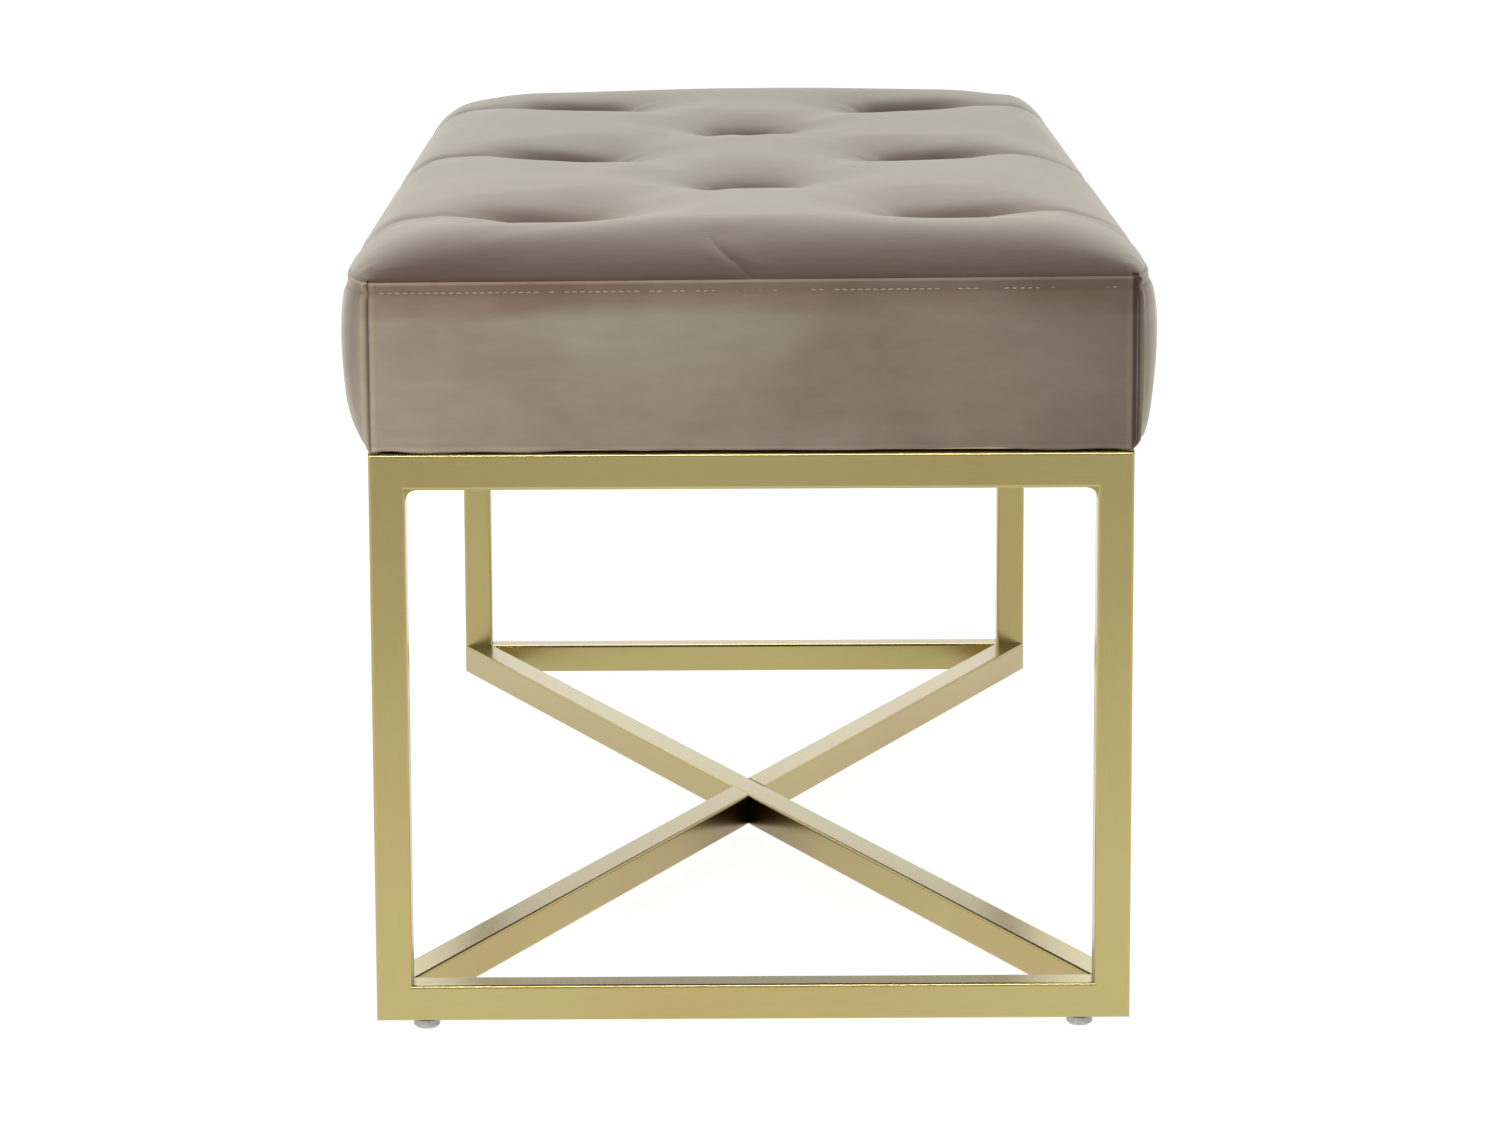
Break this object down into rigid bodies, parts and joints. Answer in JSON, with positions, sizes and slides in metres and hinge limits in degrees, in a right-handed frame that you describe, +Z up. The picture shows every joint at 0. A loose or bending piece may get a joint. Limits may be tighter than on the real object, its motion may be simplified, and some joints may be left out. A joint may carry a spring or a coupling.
{
  "type": "upholstered bench",
  "caption": "Rectangular tufted bench: boxed velvet cushion on a satin gold square-tube frame with an X stretcher at floor level and screw glides.",
  "frame": {"origin": "on the floor, under the middle of the bench, with the glides screwed home", "axes": "+X along the length, towards the end that faces the camera; +Y across the width; +Z up"},
  "size_m": [1.1256, 0.4954, 0.488],
  "materials": {
    "gold_tube": "satin",
    "velvet": "matte",
    "zinc_steel": "satin",
    "glide_nylon": "satin",
    "plywood": "matte",
    "foam": "matte",
    "wadding": "matte",
    "twine": "matte",
    "nylon": "matte",
    "dust_cloth": "matte"
  },
  "bodies": {
    "bench": {"right_top_rail": "gold_tube", "right_bottom_rail": "gold_tube", "right_front_post": "gold_tube", "right_back_post": "gold_tube", "left_top_rail": "gold_tube", "left_bottom_rail": "gold_tube", "left_front_post": "gold_tube", "left_back_post": "gold_tube", "front_side_rail": "gold_tube", "back_side_rail": "gold_tube", "long_diagonal": "gold_tube", "right_half_diagonal": "gold_tube", "left_half_diagonal": "gold_tube", "weld_fillets": "gold_tube", "seat_tabs": "gold_tube", "foot_inserts": "zinc_steel", "tee_nuts": "zinc_steel", "seat_bolts": "zinc_steel", "bolt_washers": "zinc_steel", "top_panel": "velvet", "right_end_boxing": "velvet", "left_end_boxing": "velvet", "front_boxing": "velvet", "back_boxing": "velvet", "seat_board": "plywood", "foam_block": "foam", "crown_wadding": "wadding", "tuft_ties": "twine", "tuft_anchors": "nylon", "dust_cover": "dust_cloth"},
    "right_front_glide": {"right_front_pad": "glide_nylon"},
    "right_front_screw": {"right_front_stud": "zinc_steel"},
    "right_back_glide": {"right_back_pad": "glide_nylon"},
    "right_back_screw": {"right_back_stud": "zinc_steel"},
    "left_front_glide": {"left_front_pad": "glide_nylon"},
    "left_front_screw": {"left_front_stud": "zinc_steel"},
    "left_back_glide": {"left_back_pad": "glide_nylon"},
    "left_back_screw": {"left_back_stud": "zinc_steel"}
  },
  "joints": [
    {"name": "right_front_glide_travel", "type": "slide", "parent": "bench", "child": "right_front_glide", "axis": [0, 0, -1], "range_m": [0, 0.006]},
    {"name": "right_front_screw_turn", "type": "hinge", "parent": "right_front_glide", "child": "right_front_screw", "pos_m": [0.549, -0.2, 0.01], "axis": [0, 0, -1], "range_deg": [0, 2160]},
    {"name": "right_back_glide_travel", "type": "slide", "parent": "bench", "child": "right_back_glide", "axis": [0, 0, -1], "range_m": [0, 0.006]},
    {"name": "right_back_screw_turn", "type": "hinge", "parent": "right_back_glide", "child": "right_back_screw", "pos_m": [0.549, 0.2, 0.01], "axis": [0, 0, -1], "range_deg": [0, 2160]},
    {"name": "left_front_glide_travel", "type": "slide", "parent": "bench", "child": "left_front_glide", "axis": [0, 0, -1], "range_m": [0, 0.006]},
    {"name": "left_front_screw_turn", "type": "hinge", "parent": "left_front_glide", "child": "left_front_screw", "pos_m": [-0.549, -0.2, 0.01], "axis": [0, 0, -1], "range_deg": [0, 2160]},
    {"name": "left_back_glide_travel", "type": "slide", "parent": "bench", "child": "left_back_glide", "axis": [0, 0, -1], "range_m": [0, 0.006]},
    {"name": "left_back_screw_turn", "type": "hinge", "parent": "left_back_glide", "child": "left_back_screw", "pos_m": [-0.549, 0.2, 0.01], "axis": [0, 0, -1], "range_deg": [0, 2160]}
  ],
  "couplings": [
    {"joint": "right_front_screw_turn", "follows": "right_front_glide_travel", "rad_per_m": 6283.2},
    {"joint": "right_back_screw_turn", "follows": "right_back_glide_travel", "rad_per_m": 6283.2},
    {"joint": "left_front_screw_turn", "follows": "left_front_glide_travel", "rad_per_m": 6283.2},
    {"joint": "left_back_screw_turn", "follows": "left_back_glide_travel", "rad_per_m": 6283.2}
  ]
}
